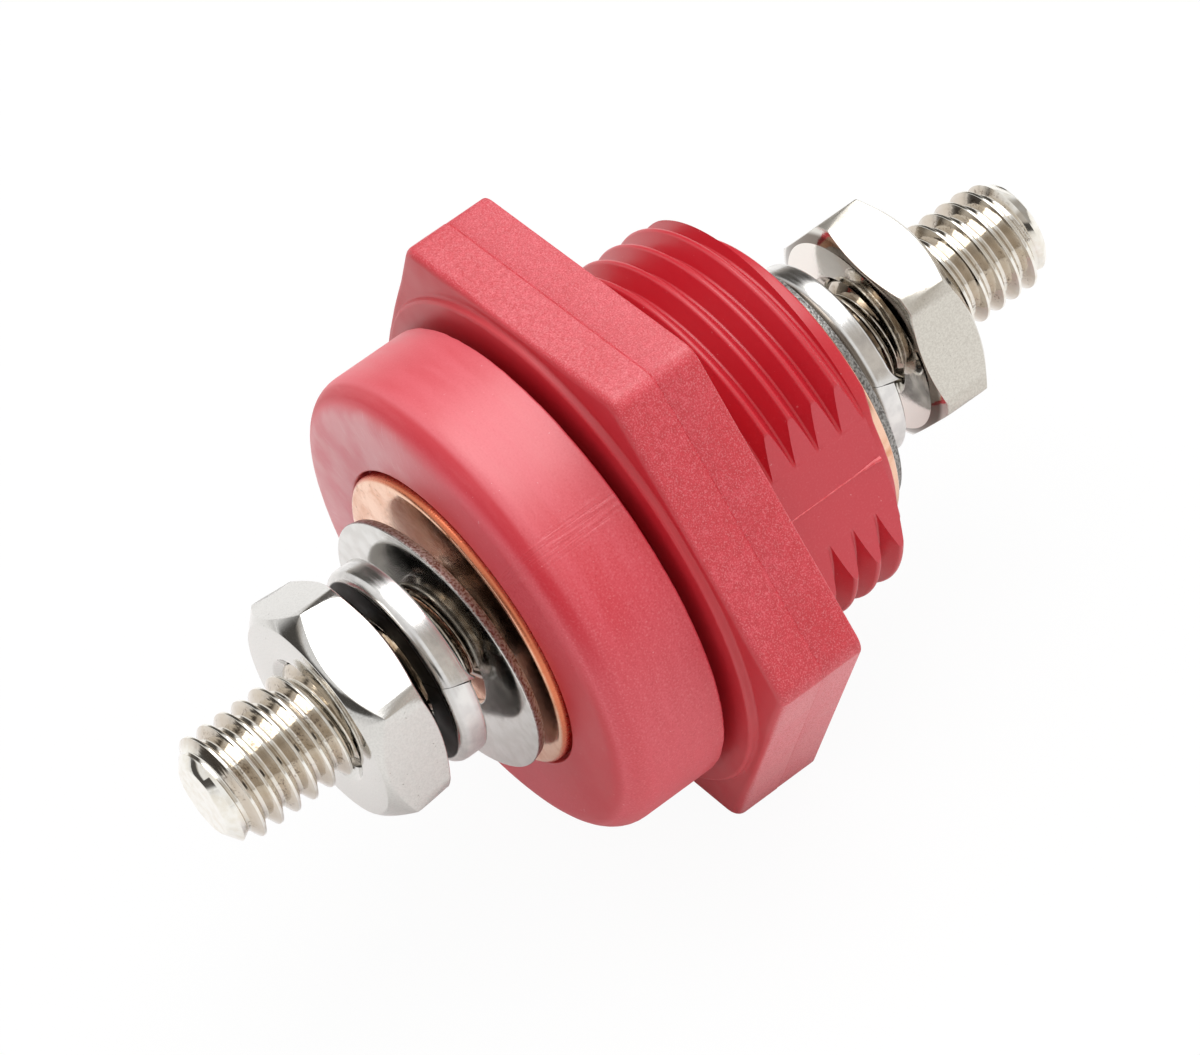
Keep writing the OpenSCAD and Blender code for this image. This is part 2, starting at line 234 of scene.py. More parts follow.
def thread_rows(turns, pitch, groove_turn, groove_y, half, low, high, trim, flats=None):
    """Radius and place along the stud of each row of a right-handed thread, for each turn.
    A row that would lie past an end is drawn onto that end, and the doubles are merged later."""
    ys, rs = half
    start = (turns[0] - groove_turn) / 360 + groove_y / pitch
    first = math.floor(low / pitch - start) - 1
    count = math.ceil(high / pitch - start) - first
    radius, place = [], []
    for turn in turns:
        middle = pitch * ((turn - groove_turn) / 360) + groove_y
        cut_r, crossing = math.inf, pitch / 2
        if flats:
            away = (turn - flats[1] + 90) % 180 - 90
            cut_r = flats[0] / math.cos(math.radians(away)) if abs(away) < FLAT_REACH else math.inf
            if cut_r < rs[-1]:
                rising = np.flatnonzero(np.diff(rs) > TINY)
                slope = np.r_[rising, rising[-1] + 1]
                crossing = 0.0 if cut_r <= rs[0] else float(np.interp(cut_r, rs[slope], ys[slope]))
        up = np.minimum(ys, crossing)
        one = np.r_[up, pitch / 2, pitch - up[:0:-1]]
        along = [middle + pitch * (first + k) + one for k in range(count)]
        y = np.clip(np.r_[np.concatenate(along), middle + pitch * (first + count)], low, high)
        folded = np.abs((y - middle + pitch / 2) % pitch - pitch / 2)
        r = np.minimum(np.minimum(np.interp(folded, ys, rs), cut_r), trim(y))
        radius.append(r)
        place.append(y)
    return np.array(radius), np.array(place), 2 * len(ys)


def piece(name, points, faces, material, body, nodes, slot):
    """A closed mesh that moves with a body and stands for CAD nodes."""
    mesh = bpy.data.meshes.new(name)
    mesh.from_pydata((np.asarray(points) * MM).tolist(), [], faces)
    shape = bmesh.new()
    shape.from_mesh(mesh)
    bmesh.ops.remove_doubles(shape, verts=shape.verts, dist=MERGE)
    bmesh.ops.dissolve_degenerate(shape, edges=shape.edges, dist=MERGE)
    bmesh.ops.recalc_face_normals(shape, faces=shape.faces)
    shape.to_mesh(mesh)
    shape.free()
    mesh.shade_smooth()
    mesh.set_sharp_from_angle(angle=math.radians(SHARP))
    mesh.materials.append(material)
    obj = bpy.data.objects.new(name, mesh)
    bpy.context.scene.collection.objects.link(obj)
    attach(obj, body)
    if nodes:
        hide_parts(*nodes)


def span(node):
    """Where a CAD node starts and ends along the stud, in millimetres."""
    low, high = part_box(node)
    return low.y / MM, high.y / MM


# ---------------------------------------------------------------- nodes

def fill(tree, node, values):
    """Gives sockets their values, or links them where the value is a socket too."""
    for key, value in values.items():
        if isinstance(value, bpy.types.NodeSocket):
            tree.links.new(value, node.inputs[key])
        else:
            node.inputs[key].default_value = value


def add_node(tree, kind, values=None, **settings):
    """A new node, its settings made before its sockets are filled."""
    node = tree.nodes.new(kind)
    for key, value in settings.items():
        setattr(node, key, value)
    fill(tree, node, values or {})
    return node


class Shade:
    """A material made of nodes, with short names for the nodes that this part needs."""

    def __init__(self, name, **sockets):
        self.material = bpy.data.materials.new(name)
        self.material.use_nodes = True
        self.tree = self.material.node_tree
        self.shader = self.tree.nodes["Principled BSDF"]
        self.place = self.add("ShaderNodeTexCoord").outputs["Object"]
        self.use(**sockets)

    def use(self, **sockets):
        """Fills sockets of the shader, whose names have _ here for a space."""
        fill(self.tree, self.shader, {key.replace("_", " "): value for key, value in sockets.items()})
        return self.material

    def add(self, kind, values=None, **settings):
        return add_node(self.tree, kind, values, **settings)

    def stretch(self, scale):
        return self.add("ShaderNodeMapping", {"Vector": self.place, "Scale": scale}).outputs["Vector"]

    def noise(self, size, detail, place=None, rough=0.5, warp=0.0):
        """Noise whose patches are about size millimetres across, from 0 to 1."""
        return self.add("ShaderNodeTexNoise", {
            "Vector": place or self.place, "Scale": 1 / (size * MM), "Detail": detail,
            "Roughness": rough, "Distortion": warp}).outputs["Fac"]

    def spread(self, value, low, high, to_low=0.0, to_high=1.0):
        """Maps a range onto another, with soft ends."""
        return self.add("ShaderNodeMapRange", {
            "Value": value, "From Min": low, "From Max": high, "To Min": to_low, "To Max": to_high},
            interpolation_type="SMOOTHSTEP").outputs["Result"]

    def math(self, operation, a, b=0.0, clamp=False):
        return self.add("ShaderNodeMath", {0: a, 1: b}, operation=operation,
                        use_clamp=clamp).outputs["Value"]

    def times(self, product, *others):
        for other in others:
            product = self.math("MULTIPLY", product, other)
        return product

    def plus(self, a, b, clamp=False):
        return self.math("ADD", a, b, clamp)

    def mix(self, factor, a, b):
        return self.add("ShaderNodeMix", {0: factor, 6: a, 7: b}, data_type="RGBA").outputs[2]

    def axis(self, name):
        return self.add("ShaderNodeSeparateXYZ", {0: self.place}).outputs[name]

    def turn(self):
        """Turn about the stud, in radians."""
        return self.math("ARCTAN2", self.axis("X"), self.axis("Z"))

    def reach(self):
        """Distance from the stud's axis, in metres."""
        x, z = self.axis("X"), self.axis("Z")
        return self.math("SQRT", self.plus(self.times(x, x), self.times(z, z)))

    def outside(self, low, high, to_low=0.0, to_high=1.0):
        """Changes with the distance from the stud's axis, in millimetres."""
        return self.spread(self.reach(), low * MM, high * MM, to_low, to_high)

    def behind(self, low=0.0, high=1.0, to_low=0.0, to_high=1.0):
        """Changes along the stud, from the panel's seat to 1 mm behind it if not told otherwise."""
        return self.spread(self.axis("Y"), low * MM, high * MM, to_low, to_high)

    def wrap(self, r, finer_round, finer_along, line=None):
        """The surface rolled out flat at a radius, so that noise can follow the turn."""
        return self.add("ShaderNodeCombineXYZ", {
            "X": self.times(self.turn(), r * MM * finer_round),
            "Y": self.times(line or self.axis("Y"), finer_along)}).outputs["Vector"]

    def facing(self, axis):
        """How far the surface looks along an axis, from -1 to 1."""
        normal = self.add("ShaderNodeTexCoord").outputs["Normal"]
        return self.add("ShaderNodeSeparateXYZ", {0: normal}).outputs[axis]

    def bump(self, height, depth, strength, under=None):
        """Relief of a depth in millimetres."""
        values = {"Height": height, "Distance": depth * MM, "Strength": strength}
        if under is not None:
            values["Normal"] = under
        return self.add("ShaderNodeBump", values).outputs["Normal"]


# ---------------------------------------------------------------- colours

def srgb(red, green, blue):
    """A colour given as it looks, from 0 to 255, for a shader's socket."""
    def linear(v):
        v /= 255
        return v / 12.92 if v <= 0.04045 else ((v + 0.055) / 1.055) ** 2.4
    return (linear(red), linear(green), linear(blue), 1.0)


RED = srgb(208, 38, 55)
RED_DEEP = srgb(194, 28, 43)
RED_PALE = srgb(218, 70, 85)
RED_SPECK = srgb(234, 140, 147)
RED_HAZE = srgb(234, 172, 177)
RED_SHINE = 0.85
FLASH_RED, FLASH_PALE = srgb(220, 50, 62), srgb(232, 104, 112)

COPPER_BRIGHT, COPPER_STAIN = srgb(240, 198, 172), srgb(220, 162, 128)
COPPER_RIM, COPPER_PIT = srgb(212, 122, 88), srgb(92, 50, 34)

PLATE, PLATE_WARM = srgb(241, 239, 233), srgb(231, 226, 215)
# Painted shade for the grooves, the front-facing flanks, dark blotches and the covered stretch of the
# stud.
PLATE_GROOVE_SHADE, PLATE_FLANK_SHADE = srgb(201, 190, 174), srgb(176, 156, 134)
PLATE_BLOTCH_SHADE, PLATE_COVERED_SHADE = srgb(96, 74, 58), srgb(112, 92, 68)
# The stretch of the stud that the washers and nuts cover at rest, painted a brown shade: each end with
# its fade.
COVERED_FRONT, COVERED_BACK = (-17.4, -16.8), (30.4, 29.8)

FRONT_NUT_PALE, FRONT_NUT_DARK = srgb(218, 216, 212), srgb(209, 207, 203)
BACK_NUT_PALE, BACK_NUT_DARK = srgb(210, 206, 197), srgb(197, 192, 183)
# Painted reflections: the inner side's brighter colour and the bevel's brown; and the pits.
NUT_INNER_REFLECTION, NUT_BEVEL, NUT_PIT = srgb(242, 239, 232), srgb(98, 84, 72), srgb(130, 122, 112)
NUT_BEVEL_R, NUT_CORNER_R = (9.35, 8.95), (9.45, 9.65)
# How far each nut gets those painted reflections, and corners rougher with wear.
FRONT_NUT_REFLECTION_AND_WEAR, BACK_NUT_REFLECTION_AND_WEAR = 0.0, 0.9

WASHER_PALE, WASHER_DARK = srgb(218, 217, 214), srgb(206, 204, 200)
# The front washer's back, painted brown as shade, and its rim, painted reddish brown as a reflection.
WASHER_BACK_SHADE = srgb(78, 54, 44)
FRONT_RIM_REFLECTION, BACK_RIM = srgb(100, 58, 45), srgb(84, 80, 77)
RIM_R = (8.0, 9.0)              # an edge further out than this is the rim, and not the bore

RING_PALE, RING_DARK = srgb(228, 226, 223), srgb(214, 212, 210)
# Painted shade: the front rounding, the front face, and the back face in blotches with its paler part.
RING_SHOULDER_SHADE, RING_FRONT_SHADE = srgb(118, 104, 90), srgb(48, 43, 40)
RING_BACK_SHADE, RING_BACK_PALER = srgb(58, 53, 49), srgb(160, 157, 153)


# ---------------------------------------------------------------- materials

def red_housing():
    """Satin moulding: flow streaks, grain below, a painted sheen on top and on the flats, and on the
    front face painted shade and scuffs in a painted sheen.
    """
    s = Shade("red_housing")
    flow = s.noise(1.6, 4.0, s.stretch((0.15, 1.0, 0.15)), rough=0.6)
    grain = s.noise(0.16, 3.0)
    patch = s.noise(7.0, 3.0)
    turn = s.turn()
    left, right = s.spread(turn, -2.9, -2.2), s.spread(turn, 2.9, 2.2)   # both end below the head
    barrel = s.behind()
    head = s.math("SUBTRACT", 1.0, barrel)
    coarse = s.times(s.spread(s.plus(turn, patch), 0.9, 1.5, 0, 0.7), right)
    coarse = s.times(s.plus(coarse, 0.3), s.plus(s.times(head, 0.7), 0.3))
    colour = s.mix(s.spread(flow, 0.3, 0.7, 0.3, 0.9), RED, RED_PALE)
    colour = s.mix(s.times(barrel, 0.9), colour, RED_DEEP)
    # The flats are painted paler, a painted sheen.
    flat = s.times(s.spread(s.math("ABSOLUTE", s.facing("X")), 0.93, 0.98, 0, 0.35), barrel)
    colour = s.mix(flat, colour, RED_PALE)
    # The head's upward faces get a painted sheen.
    painted_sheen = s.times(s.spread(s.facing("Z"), 0.45, 0.95, 0, 0.15), head)
    colour = s.mix(painted_sheen, colour, RED_HAZE)
    colour = s.mix(s.times(s.spread(grain, 0.5, 0.8, 0, 0.35), coarse), colour, RED_SPECK)
    colour = s.mix(s.times(s.spread(grain, 0.5, 0.2, 0, 0.7), coarse), colour, RED_DEEP)

    # The front face is painted deeper red below and at its round edge, a painted shade, and has scuffs
    # in a painted sheen above.
    face = s.behind(-HEAD_T + 0.5, -HEAD_T + 0.05)
    under = s.times(face, right, s.spread(turn, 0.7, 1.5, 0, 0.8))
    edge = s.times(s.spread(s.facing("Y"), -0.3, -0.5), s.spread(s.facing("Y"), -0.88, -0.7))
    edge = s.times(edge, head, s.spread(turn, 1.4, 0.9, 0.2, 1.0))
    edge = s.times(edge, s.math("MAXIMUM", left, 0.2), s.spread(flow, 0.3, 0.6, 0.5, 1.0))
    colour = s.mix(s.math("MAXIMUM", under, s.times(edge, 0.7)), colour, RED_DEEP)
    # The upper left of the face gets a painted sheen, with scuffs and scratches in it.
    upper = s.times(face, left, s.spread(turn, 0.3, -0.45))
    sheen_and_wear = s.times(upper, s.spread(s.noise(4.0, 3.0), 0.38, 0.62, 0.5, 1.0))
    strokes = s.noise(0.7, 3.0, s.wrap(16.0, 4.0, 0.4, s.reach()))
    scratch = s.times(s.spread(strokes, 0.54, 0.72), sheen_and_wear)
    specks = s.times(s.spread(s.noise(0.3, 1.0), 0.77, 0.81), 0.4)
    veil = s.plus(s.times(scratch, 0.3), s.times(sheen_and_wear, 0.62))
    colour = s.mix(s.plus(veil, specks, True), colour, RED_HAZE)

    # A narrow band of marks runs along the head.
    marks = s.noise(0.5, 2.0, s.wrap(19.0, 2.0, 0.12))
    band = s.times(s.spread(turn, 0.66, 0.72), s.spread(turn, 0.84, 0.76), head)
    relief = s.bump(grain, 0.025, s.times(coarse, 0.6))
    relief = s.bump(flow, 0.05, 0.35, relief)
    relief = s.bump(marks, 0.12, s.times(band, 0.8), relief)
    relief = s.bump(scratch, 0.012, 0.6, relief)
    rough = s.plus(s.spread(flow, 0.3, 0.7, 0.38, 0.48), s.times(barrel, -0.08))
    dull = s.math("MAXIMUM", s.times(barrel, 0.5), s.math("MAXIMUM", edge, under))
    shine = s.math("SUBTRACT", RED_SHINE, s.times(dull, 0.4))
    return s.use(Base_Color=colour, Roughness=rough, Normal=relief, Specular_IOR_Level=shine)


def red_flash():
    """The thin ridges that the mould leaves: torn, and paler than the barrel."""
    s = Shade("red_flash", Specular_IOR_Level=RED_SHINE)
    torn = s.noise(0.4, 3.0)
    colour = s.mix(s.spread(torn, 0.3, 0.7), FLASH_RED, FLASH_PALE)
    return s.use(Base_Color=colour, Roughness=s.spread(torn, 0.3, 0.7, 0.35, 0.55),
                 Normal=s.bump(torn, 0.03, 0.6))


def red_grain():
    """The panel nut's moulding: the fine sparkle of an etched mould, painted sheen above and a painted
    floor reflection below, a smooth lip painted deep red as shade.
    """
    s = Shade("red_grain", Specular_IOR_Level=RED_SHINE)
    clouds = s.noise(6.0, 3.0)
    mottle = s.noise(0.6, 4.0, rough=0.65)
    grain = s.noise(0.12, 2.0, rough=0.6)
    etched = s.behind(PANEL_HEX_Y - 0.05, PANEL_HEX_Y + 0.45)
    colour = s.mix(s.spread(clouds, 0.3, 0.7, 0, 0.7), RED, RED_PALE)
    colour = s.mix(s.spread(mottle, 0.35, 0.65, 0, 0.7), colour, RED_DEEP)
    # A painted sheen on faces that look up, and a painted reflection of the floor on faces that look
    # down.
    painted_sheen = s.plus(s.spread(s.facing("Z"), 0.9, 1.0, 0, 0.13),
                  s.spread(s.facing("Z"), -0.3, -0.5, 0, 0.42))
    colour = s.mix(painted_sheen, colour, RED_HAZE)
    colour = s.mix(s.spread(grain, 0.48, 0.74, 0, 0.55), colour, RED_SPECK)
    colour = s.mix(s.spread(grain, 0.52, 0.28, 0, 0.9), colour, RED_DEEP)
    # The lip next to the head is painted deep red, a painted shade.
    colour = s.mix(s.math("SUBTRACT", 1.0, etched), colour, RED_DEEP)
    relief = s.bump(grain, 0.045, s.times(etched, 0.9))
    return s.use(Base_Color=colour, Roughness=s.spread(clouds, 0.3, 0.7, 0.42, 0.54), Normal=relief)


def copper():
    """Bare copper: a bright turned face with stains and pits, an orange rim."""
    s = Shade("copper", Metallic=1.0)
    blotches = s.noise(2.2, 4.0, rough=0.6, warp=0.4)
    fine = s.noise(0.3, 3.0)
    rim = s.times(s.outside(BUSH_R - 0.33, BUSH_R - 0.1), s.behind(-HEAD_T + 0.3, -HEAD_T - 0.1))
    colour = s.mix(s.spread(blotches, 0.4, 0.7), COPPER_BRIGHT, COPPER_STAIN)
    pits = s.times(s.spread(fine, 0.62, 0.74), s.spread(blotches, 0.45, 0.6))
    colour = s.mix(s.times(pits, 0.8), colour, COPPER_PIT)
    colour = s.mix(rim, colour, COPPER_RIM)
    lines = s.noise(0.5, 2.0, s.wrap(12.7, 3.0, 0.15))
    relief = s.bump(fine, 0.006, 0.5)
    relief = s.bump(lines, 0.03, s.times(rim, 0.5), relief)
    rough = s.plus(s.spread(fine, 0.3, 0.7, 0.13, 0.22), s.times(rim, 0.12))
    return s.use(Base_Color=colour, Roughness=rough, Normal=relief)


def nickel():
    """The stud's pale bright plating: the fine lines of a rolled thread, painted shade in the grooves,
    on the front-facing flanks, in dark blotches and where nuts and washers cover it.
    """
    s = Shade("nickel", Metallic=1.0)
    low, high = span("stud")
    waves = s.noise(0.8, 3.0)
    lines = s.noise(0.12, 2.0, s.stretch((0.04, 1.0, 0.04)))
    thread = s.times(s.behind(low + 1.0, low + 1.6), s.behind(high - 0.8, high - 1.4))
    colour = s.mix(s.spread(waves, 0.35, 0.7), PLATE, PLATE_WARM)
    # Painted shade: the grooves, and the flanks that face the front, are darker.
    groove = s.times(s.outside(STUD_R - 0.125, STUD_R - 0.425), thread)
    colour = s.mix(s.times(groove, 0.35), colour, PLATE_GROOVE_SHADE)
    flank = s.times(s.spread(s.facing("Y"), -0.4, -0.75, 0, 0.5), thread)
    colour = s.mix(flank, colour, PLATE_FLANK_SHADE)
    # Dark brown blotches in the grooves are a painted shade.
    blotches = s.times(s.spread(s.noise(0.22, 2.0), 0.52, 0.66), s.spread(s.noise(1.8, 2.0), 0.5, 0.6))
    colour = s.mix(s.times(blotches, s.times(groove, 0.6)), colour, PLATE_BLOTCH_SHADE)
    # The stretch that the washers and nuts cover is painted a brown shade.
    covered = s.times(s.behind(*COVERED_FRONT), s.behind(*COVERED_BACK))
    covered_shade = s.times(covered, s.spread(waves, 0.3, 0.6, 0.35, 0.65))
    colour = s.mix(covered_shade, colour, PLATE_COVERED_SHADE)
    relief = s.bump(waves, 0.012, s.times(thread, 0.3))
    relief = s.bump(lines, 0.015, s.times(thread, 0.5), relief)
    return s.use(Base_Color=colour, Roughness=s.spread(waves, 0.3, 0.7, 0.04, 0.1), Normal=relief)


def stainless(name, pale, dark, reflection_and_wear):
    """A terminal nut: flats with a fine grain and pits, and corners rougher with wear. As far as its
    last argument says, its inner side is painted brighter and its bevel brown, both painted reflections,
    and its corners are rougher."""
    s = Shade(name, Metallic=1.0)
    grain = s.noise(0.16, 2.0)
    patch = s.noise(2.5, 3.0)
    colour = s.mix(s.spread(grain, 0.3, 0.7), pale, dark)
    pits = s.times(s.spread(s.noise(0.22, 1.0), 0.7, 0.77), s.spread(patch, 0.46, 0.6))
    colour = s.mix(s.times(pits, 0.6), colour, NUT_PIT)
    along = s.facing("Y")
    # On the inner side a painted brighter reflection, and a painted brown reflection on the bevel.
    bevel = s.times(s.spread(along, -0.7, -0.85), s.spread(along, -0.985, -0.95),
                    s.outside(*NUT_BEVEL_R, reflection_and_wear * 0.2, reflection_and_wear))
    colour = s.mix(s.spread(along, -0.7, -0.85, 0, reflection_and_wear), colour, NUT_INNER_REFLECTION)
    colour = s.mix(bevel, colour, NUT_BEVEL)
    sheen_and_wear = s.outside(*NUT_CORNER_R, 0, 0.08 + 0.2 * reflection_and_wear)
    sheen_and_wear = s.math("SUBTRACT", sheen_and_wear, s.spread(s.math("ABSOLUTE", along), 0.3, 0.5, 0, 0.07))
    rough = s.plus(s.spread(grain, 0.3, 0.7, 0.12, 0.19), sheen_and_wear)
    return s.use(Base_Color=colour, Roughness=rough, Normal=s.bump(grain, 0.004, 0.3))


def washer_steel():
    """Pressed washers: polished faces, a dull, torn rim painted reddish brown on the front one as a
    reflection, and the front one's back painted brown as shade.
    """
    s = Shade("washer_steel", Metallic=1.0)
    waves = s.noise(1.4, 3.0)
    grain = s.noise(0.2, 2.0)
    along = s.facing("Y")
    rim = s.times(s.spread(s.math("ABSOLUTE", along), 0.75, 0.5), s.outside(*RIM_R))
    colour = s.mix(s.spread(waves, 0.35, 0.65), WASHER_PALE, WASHER_DARK)
    # The front washer's back is painted brown, a painted shade that the copper mirrors.
    under = s.times(s.spread(along, 0.9, 0.97), s.behind(0.0, -1.0))
    colour = s.mix(s.times(under, 0.85), colour, WASHER_BACK_SHADE)
    # The front washer's rim is painted reddish brown, a painted reflection of the copper and the red
    # body.
    rim_grain = s.spread(grain, 0.65, 0.3, 0.5, 0.95)
    colour = s.mix(s.times(rim, rim_grain), colour, s.mix(s.behind(), FRONT_RIM_REFLECTION, BACK_RIM))
    rough = s.plus(s.spread(waves, 0.3, 0.7, 0.1, 0.16), s.times(rim, 0.28))
    relief = s.bump(waves, 0.005, 0.3)
    relief = s.bump(grain, 0.08, s.times(rim, 0.7), relief)
    return s.use(Base_Color=colour, Roughness=rough, Normal=relief)


def lock_steel():
    """Split rings of drawn wire: marks that run round the rim, painted shade on the front rounding and
    the front, and a back painted dark in blotches, paler towards the left, as shade.
    """
    s = Shade("lock_steel", Metallic=1.0)
    patch = s.noise(1.2, 3.0)
    lines = s.noise(0.25, 3.0, s.stretch((0.08, 1.0, 0.08)))
    colour = s.mix(s.spread(patch, 0.35, 0.65), RING_PALE, RING_DARK)
    along = s.facing("Y")
    # The front rounding is painted brown as shade, more on the back ring.
    shoulder = s.times(s.spread(along, -0.25, -0.6), s.behind(to_low=0.15, to_high=0.85))
    colour = s.mix(shoulder, colour, RING_SHOULDER_SHADE)
    # The front face is painted nearly black as shade.
    front = s.spread(along, -0.95, -0.99)
    colour = s.mix(front, colour, RING_FRONT_SHADE)
    turn = s.turn()
    # The back face is painted dark in blotches as shade, paler towards the left.
    left = s.times(s.spread(turn, 0.6, -0.2, 0, 0.3), s.spread(turn, -2.9, -2.2))
    back_shade = s.spread(s.plus(s.noise(2.4, 3.0), left), 0.42, 0.7)
    colour = s.mix(s.spread(along, 0.95, 0.99), colour, s.mix(back_shade, RING_BACK_SHADE, RING_BACK_PALER))
    rough = s.plus(s.spread(lines, 0.3, 0.7, 0.14, 0.26), s.times(front, 0.3))
    return s.use(Base_Color=colour, Roughness=rough, Normal=s.bump(lines, 0.01, 0.5))


# ---------------------------------------------------------------- pieces

def make_stud(material):
    low, high = span("stud")
    turns = np.linspace(0, 360, STUD_STEPS, endpoint=False)
    half = half_thread(STUD_PITCH, STUD_ROOT_R, STUD_R, steps=2, **STUD_GROOVE)

    def trim(y):
        front = STUD_R - STUD_FRONT_IN * (1 - (y - low) / STUD_FRONT_TIP)
        back = STUD_R - STUD_BACK_IN * (1 - (high - y) / STUD_BACK_TIP)
        end = np.clip((high - y) / STUD_BACK_ROUND, 0, 1)
        return np.minimum(front, back - STUD_BACK_ROUND * (1 - np.sqrt(1 - (1 - end) ** 2)))

    start, tip_r = low + STUD_TIP_T, STUD_R - STUD_FRONT_IN
    r, y, shift = thread_rows(turns, STUD_PITCH, STUD_GROOVE_TURN, STUD_GROOVE_Y, half,
                              start, high, trim)
    tip = outline([(0, low), (tip_r - STUD_TIP_RIM, low), (tip_r, low, STUD_TIP_ROUND),
                   (trim(start), start)], 6)[:-1]
    nought, ones = np.zeros((STUD_STEPS, 1)), np.ones((STUD_STEPS, 1))
    r = np.hstack([tip[None, :, 0] * ones, r, r[:, -1:] - STUD_BACK_RIM, nought])
    y = np.hstack([tip[None, :, 1] * ones, y, high * ones, high * ones])
    rows = r.shape[1]
    points = spot(r, turns[:, None], y).reshape(-1, 3)
    faces = skin(STUD_STEPS, rows, closed=False, thread=(len(tip), rows - 3, shift))
    piece("threaded_stud", points, faces, material, "base", ["stud"], "stud_plating")


def make_bush(material):
    low, high = span("bush")
    profile = outline([
        (BUSH_BORE_R, low, BUSH_BORE_ROUND), (BUSH_R, low, BUSH_FRONT_ROUND),
        (BUSH_R, high, BUSH_BACK_ROUND), (BUSH_BORE_R, high, BUSH_BORE_ROUND)], 5)
    piece("copper_bush", *lathe(profile), material, "base", ["bush"], "copper")


def barrel_turns():
    """Turns of the housing's columns, close together where the flats cut the thread."""
    close = np.arange(CUT_NEAR, CUT_FAR + TINY, CUT_STEP)
    plain = np.linspace(CUT_FAR, 180 - CUT_FAR, PLAIN_STEPS)[1:-1]
    return np.sort([side + d for side in (FLAT_TURN, FLAT_TURN + 180)
                    for d in (*-close, *FLAT_STEPS, *close, *plain)])


def make_housing(material):
    turns = barrel_turns()
    half = half_thread(THREAD_PITCH, THREAD_ROOT_R, THREAD_CREST_R, steps=3, **THREAD_GROOVE)

    def trim(y):
        return THREAD_CREST_R - THREAD_END_EDGE + (THREAD_LEN - y)

    r, y, shift = thread_rows(turns, THREAD_PITCH, THREAD_GROOVE_TURN, 0.0, half,
                              0.0, THREAD_LEN, trim, (FLAT_R, FLAT_TURN))
    before = outline([
        (HOUSING_BORE_R, -HEAD_T + MOUTH_DEPTH), (MOUTH_R, -HEAD_T + MOUTH_DEPTH),
        (MOUTH_R, -HEAD_T, MOUTH_ROUND), (HEAD_R, -HEAD_T, HEAD_EDGE), (HEAD_R, HEAD_RING_Y),
        (HEAD_R, 0, HEAD_BACK_EDGE), (SEAT_R, 0)], 10)
    after = outline([
        (COLLAR_R, THREAD_LEN), (COLLAR_R, BARREL_LEN, COLLAR_ROUND),
        (HOUSING_BORE_R, BARREL_LEN, COLLAR_BORE_ROUND)], 3)
    ones = np.ones((len(turns), 1))
    r = np.hstack([before[None, :, 0] * ones, r, after[None, :, 0] * ones])
    y = np.hstack([before[None, :, 1] * ones, y, after[None, :, 1] * ones])
    rows = r.shape[1]
    torn = np.random.default_rng(HEAD_BURR_SEED).normal(0, 1, (len(turns), 1))
    torn = torn.clip(HEAD_BURR_MIN, HEAD_BURR_MAX)
    rear_edge = (y > -HEAD_BACK_EDGE - SLACK) & (y < SLACK) & (r > HEAD_R - HEAD_BURR_IN)
    r += HEAD_BURR * torn * rear_edge
    away = np.abs((turns - COLLAR_DIP_TURN + 180) % 360 - 180)
    dip = COLLAR_DIP * (1 - np.clip((away - COLLAR_DIP_HALF) / COLLAR_DIP_FADE, 0, 1))
    y[:, rows - len(after) + 1:] -= dip[:, None]
    points = spot(r, turns[:, None], y).reshape(-1, 3)
    thread = (len(before), rows - len(after) - 1, shift)
    piece("red_body", points, skin(len(turns), rows, thread=thread), material,
          "base", ["housing"], "red_moulding")


def make_flash(name, turn, seed, material):
    """The thin ridge that the mould leaves along a flat, with a torn end."""
    rng = np.random.default_rng(seed)
    count = FLASH_STATIONS
    stations = np.linspace(FLASH_START, THREAD_LEN - FLASH_SHORT, count)
    end = np.clip((stations - (THREAD_LEN - FLASH_TEAR_T)) / FLASH_TEAR_FADE, 0, 1)
    height = FLASH_H + FLASH_H_ROUGH * rng.random(count)
    height = height + end * (FLASH_TEAR_H + FLASH_TEAR_ROUGH * rng.random(count))
    width = FLASH_W + FLASH_W_ROUGH * rng.random(count) + end * FLASH_TEAR_W
    drift = np.cumsum(rng.normal(0, FLASH_DRIFT, count))
    normal, side = spot(1, turn, 0), spot(1, turn + 90, 0)
    points = []
    for k, y in enumerate(stations):
        section = [(a * width[k], b * height[k]) for a, b in FLASH_SECTION] + [(0, -FLASH_SUNK)]
        points += [normal * (FLAT_R + up) + side * (across + drift[k]) + np.array([0, y, 0])
                   for across, up in section]
    piece(name, points, bar(count, len(FLASH_SECTION) + 1), material, "base", [], "red_moulding")


